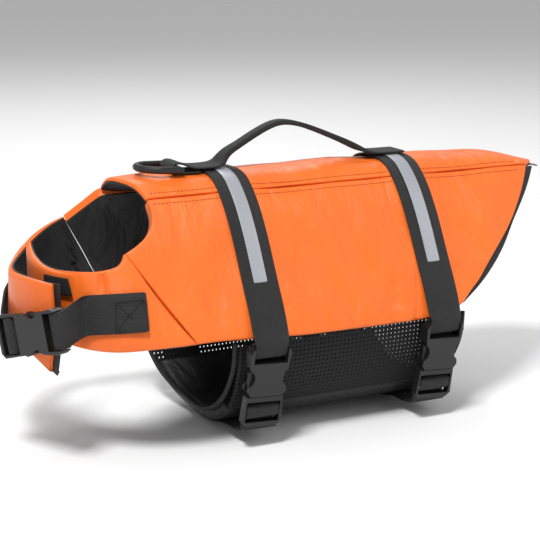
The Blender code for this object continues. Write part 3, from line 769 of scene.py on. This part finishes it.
def laid(points: list[Vector], surfaces: list[bpy.types.Object], lift: float) -> list[Vector]:
    """Points drawn to the nearest outer cloth and lifted from it.

    Args:
        points: Points near the cloth.
        surfaces: Pieces to lie on.
        lift: Height above the cloth.

    Returns:
        The moved points.
    """
    trees = []
    for piece in surfaces:
        work = bmesh.new()
        work.from_mesh(piece.data)
        trees.append(BVHTree.FromBMesh(work))
        work.free()
    made = []
    for point in points:
        hits = [tree.find_nearest(point) for tree in trees]
        place, normal, _, _ = min((h for h in hits if h[0]), key=lambda h: h[3])
        made.append(place + normal * lift)
    return made


def smoothed(path: list[np.ndarray]) -> list[Vector]:
    """A path evened out by a running mean."""
    rows = np.array(path)
    kernel = np.ones(7) / 7
    padded = np.pad(rows, ((3, 3), (0, 0)), mode="edge")
    return [Vector(p) for p in np.stack([np.convolve(padded[:, k], kernel, "valid") for k in range(3)], 1)]


def bound(name: str, path: list[Vector], radius: float, finish: bpy.types.Material) -> None:
    """A thin sewn-down binding along a path.

    Args:
        name: The piece's name.
        path: Its centre line.
        radius: Its radius.
        finish: Its material.
    """
    curve = bpy.data.curves.new(name, "CURVE")
    curve.dimensions, curve.bevel_depth, curve.bevel_resolution, curve.use_fill_caps = "3D", radius, 2, True
    spline = curve.splines.new("POLY")
    spline.points.add(len(path) - 1)
    for point, place in zip(spline.points, path):
        point.co = (*place, 1)
    holder = linked(name, curve)
    mesh = baked(holder)
    bpy.data.objects.remove(holder)
    mesh.materials.clear()
    mesh.materials.append(finish)
    piece = linked(name, mesh)
    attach(piece, JACKET)


# ---------------------------------------------------------------- sub-assemblies
@dataclass
class Shell:
    """The padded shell: orange panels and their linings.

    Attributes:
        finishes: The materials.
        pieces: Built pieces by node.
    """

    finishes: Finishes
    pieces: dict[str, bpy.types.Object] = field(default_factory=dict)

    def build(self) -> None:
        """Builds the panels and the linings."""
        for side, sign in (("left", -1.0), ("right", 1.0)):
            gathers = puckers(5, 0.000, 0.060, sign * 0.092, -0.098, 7 + int(sign))
            self.panel(f"side_panel_{side}", side_creases(sign) + gathers, 0.00035)
            scallops = puckers(9, -0.222, -0.150, sign * 0.060, -0.048, 11 + int(sign))
            self.panel(f"chest_flap_{side}", scallops, 0.0007)
        self.panel("back_panel", [], 0.0004)
        paired = [f"{place}_lining_{side}" for place in ("side", "chest") for side in ("left", "right")]
        for node in ["back_lining", *paired]:
            piece = SoftPiece(node, self.finishes.lining, "black_lining", Cloth.SHEET)
            self.pieces[node] = piece.build()

    def panel(self, node: str, creases: list[Crease], ripple: float) -> None:
        """Builds one orange panel.

        Args:
            node: The CAD node.
            creases: Its folds.
            ripple: Height of its unevenness.
        """
        piece = SoftPiece(node, self.finishes.orange, "orange_cloth", Cloth.PADDED, 3, 75.0, creases, ripple)
        self.pieces[node] = piece.build()

    def cover_folds(self) -> None:
        """Binds the seam between each side lining and its chest lining."""
        for side in ("left", "right"):
            source = bpy.data.objects[f"chest_lining_{side}"]
            points = np.array([v.co for v in source.data.vertices])
            heights = np.linspace(points[:, 2].min(), points[:, 2].max(), 60)
            path = []
            for height in heights:
                near = points[np.abs(points[:, 2] - height) < 0.003]
                if len(near):
                    path.append(near[near[:, 0].argmax()])
            name = f"fold_binding_{side}"
            bound(name, smoothed(path), BINDING_RADIUS, self.finishes.lining)

    def stitch(self, stitcher: Stitcher) -> None:
        """Sews the seams beside the back panel.

        Args:
            stitcher: The stitch maker.
        """
        tops = [self.pieces[n] for n in ("back_panel", "side_panel_left", "side_panel_right")]
        lines = []
        for sign in (-1.0, 1.0):
            for y, z in ((0.0318, 0.0022), (0.0392, -0.0046)):
                run = [Vector((x, sign * y, z)) for x in np.arange(-0.148, 0.192, 0.005)]
                lines.append(laid(run, tops, SEAM_LIFT))
        stitcher.sew("seam_stitches", lines, self.finishes.thread, 0.0032)


@dataclass
class Trim:
    """Webbing, tape, belly band, handle and patch.

    Attributes:
        finishes: The materials.
        pieces: Built pieces by node.
    """

    finishes: Finishes
    pieces: dict[str, bpy.types.Object] = field(default_factory=dict)

    def build(self) -> None:
        """Builds the webbing, tape, belly band, handle and patch."""
        looks = self.finishes
        rows = (
            ("front_girth_strap", looks.girth, "black_webbing", Cloth.TRIM),
            ("rear_girth_strap", looks.girth, "black_webbing", Cloth.TRIM),
            ("front_girth_tape", looks.tape, "reflective_tape", Cloth.TRIM),
            ("rear_girth_tape", looks.tape, "reflective_tape", Cloth.TRIM),
            ("chest_strap_left", looks.chest, "black_webbing", Cloth.TRIM),
            ("chest_strap_right", looks.chest, "black_webbing", Cloth.TRIM),
            ("handle", looks.handle, "black_webbing", Cloth.TRIM),
            ("belly_piping_front", looks.piping, "black_webbing", Cloth.TRIM),
            ("belly_piping_rear", looks.piping, "black_webbing", Cloth.TRIM),
            ("belly_pad", looks.lining, "black_lining", Cloth.PADDED),
            ("belly_mesh_left", looks.mesh, "black_mesh", Cloth.SHEET),
            ("belly_mesh_right", looks.mesh, "black_mesh", Cloth.SHEET),
            ("hook_patch", looks.patch, "black_mesh", Cloth.TRIM),
        )
        for node, finish, slot, cloth in rows:
            sharp = 65.0 if cloth is Cloth.TRIM else 55.0
            self.pieces[node] = SoftPiece(node, finish, slot, cloth, 2, sharp).build()

    def stitch(self, stitcher: Stitcher) -> None:
        """Sews the seam thread that crosses the webbing and the boxed end of the chest strap.

        Args:
            stitcher: The stitch maker.
        """
        straps = [self.pieces["front_girth_strap"], self.pieces["rear_girth_strap"]]
        lines = []
        for node in ("front_girth_strap", "rear_girth_strap"):
            _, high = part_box(node)
            middle = high.x - 0.015
            for sign in (-1.0, 1.0):
                run = [Vector((middle + k * 0.003, sign * 0.0368, -0.0020)) for k in range(-5, 6)]
                lines.append(laid(run, straps, WEBBING_LIFT))
        stitcher.sew("seam_thread_on_webbing", lines, self.finishes.salmon, 0.0030)
        self.boxed_end(stitcher)

    def boxed_end(self, stitcher: Stitcher) -> None:
        """Sews a crossed box into the end of the left chest strap.

        Args:
            stitcher: The stitch maker.
        """
        strap = self.pieces["chest_strap_left"]
        _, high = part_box("chest_strap_left")
        end_x, middle_z, half = high.x - 0.004, -0.0775, 0.0115
        corners = [(end_x, half), (end_x - 0.024, half), (end_x - 0.024, -half), (end_x, -half)]
        order = [0, 1, 2, 3, 0, 2, 1, 3]
        line = []
        for first, last in zip(order, order[1:]):
            (x0, z0), (x1, z1) = corners[first], corners[last]
            for share in np.linspace(0, 1, 9):
                x, z = x0 + (x1 - x0) * share, middle_z + z0 + (z1 - z0) * share
                line.append(Vector((x, -0.083, z)))
        box = laid(line, [strap], WEBBING_LIFT)
        stitcher.sew("boxed_end_stitches", [box], self.finishes.patch, 0.003)


def dress_hard_parts(finishes: Finishes) -> None:
    """Gives the plastic parts their material.

    Args:
        finishes: The materials.
    """
    for node in bpy.data.objects:
        if node.get("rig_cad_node") and ("buckle" in node.name or node.name == "d_ring"):
            node.data.materials.clear()
            node.data.materials.append(finishes.plastic)
            LOG.info("%s: moulded plastic", node.name)


# ---------------------------------------------------------------- studio
@dataclass(frozen=True)
class Studio:
    """Floor, light and camera.

    Attributes:
        turn: Camera azimuth in degrees.
        rise: Camera elevation in degrees.
        distance: Camera distance from its aim, in metres.
        aim: Point the camera looks at.
        lens: Focal length in millimetres on a 36 mm sensor.
    """

    turn: float = -27.0
    rise: float = 13.5
    distance: float = 1.280
    aim: tuple[float, float, float] = (-0.04836, -0.03638, -0.06794)
    lens: float = 106.67

    def build(self, floor_height: float) -> None:
        """Builds the studio.

        Args:
            floor_height: Height of the floor.
        """
        scene = bpy.context.scene
        scene.view_settings.view_transform = "Standard"
        turn, rise = math.radians(self.turn), math.radians(self.rise)
        back = Vector((math.sin(turn) * math.cos(rise), -math.cos(turn) * math.cos(rise), math.sin(rise)))
        data = bpy.data.cameras.new("camera")
        data.lens, data.sensor_width = self.lens, 36.0
        camera = bpy.data.objects.new("camera", data)
        camera.location = Vector(self.aim) + back * self.distance
        camera.rotation_euler = back.to_track_quat("Z", "Y").to_euler()
        scene.collection.objects.link(camera)
        scene.camera = camera
        world = bpy.data.worlds.new("soft_light")
        world.use_nodes = True
        world.node_tree.nodes["Background"].inputs[0].default_value = (1.0, 1.0, 1.0, 1)
        world.node_tree.nodes["Background"].inputs[1].default_value = 0.42
        scene.world = world
        lamps = (
            ("key", (-0.9, -0.9, 1.9), 46.0, 0.5),
            ("fill", (1.3, -1.0, 0.8), 7.0, 1.3),
            ("rear", (0.4, 1.5, 1.5), 16.0, 1.0),
        )
        for name, place, power, size in lamps:
            lamp = bpy.data.lights.new(name, "AREA")
            lamp.energy, lamp.size = power, size
            holder = bpy.data.objects.new(name, lamp)
            holder.location = place
            holder.rotation_euler = (Vector(place) - Vector(self.aim)).to_track_quat("Z", "Y").to_euler()
            scene.collection.objects.link(holder)
        self.floor(floor_height)

    def floor(self, height: float) -> None:
        """Lays a pale floor.

        Args:
            height: Its height.
        """
        work = bmesh.new()
        bmesh.ops.create_grid(work, x_segments=2, y_segments=2, size=12.0)
        mesh = bpy.data.meshes.new("floor")
        work.to_mesh(mesh)
        work.free()
        shader = Shader("pale_floor", 0.9)
        shader.surface.inputs["Base Color"].default_value = (0.92, 0.92, 0.92, 1)
        mesh.materials.append(shader.material)
        floor = bpy.data.objects.new("floor", mesh)
        floor.location.z = height
        bpy.context.scene.collection.objects.link(floor)
        floor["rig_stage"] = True


def plain(bounds: tuple) -> list[list[float]]:
    """Bounds as plain lists of numbers."""
    return [[float(v) for v in corner] for corner in bounds]


def main() -> None:
    """Builds the jacket's looks in order."""
    logging.basicConfig(level=logging.INFO)
    for old in list(bpy.data.objects):
        bpy.data.objects.remove(old)
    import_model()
    cad_box = plain(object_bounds())
    finishes = Finishes()
    shell, trim = Shell(finishes), Trim(finishes)
    shell.build()
    trim.build()
    dress_hard_parts(finishes)
    stitcher = Stitcher()
    shell.stitch(stitcher)
    shell.cover_folds()
    trim.stitch(stitcher)
    Studio().build(cad_box[0][2] - 0.001)


if __name__ == "__main__":
    main()
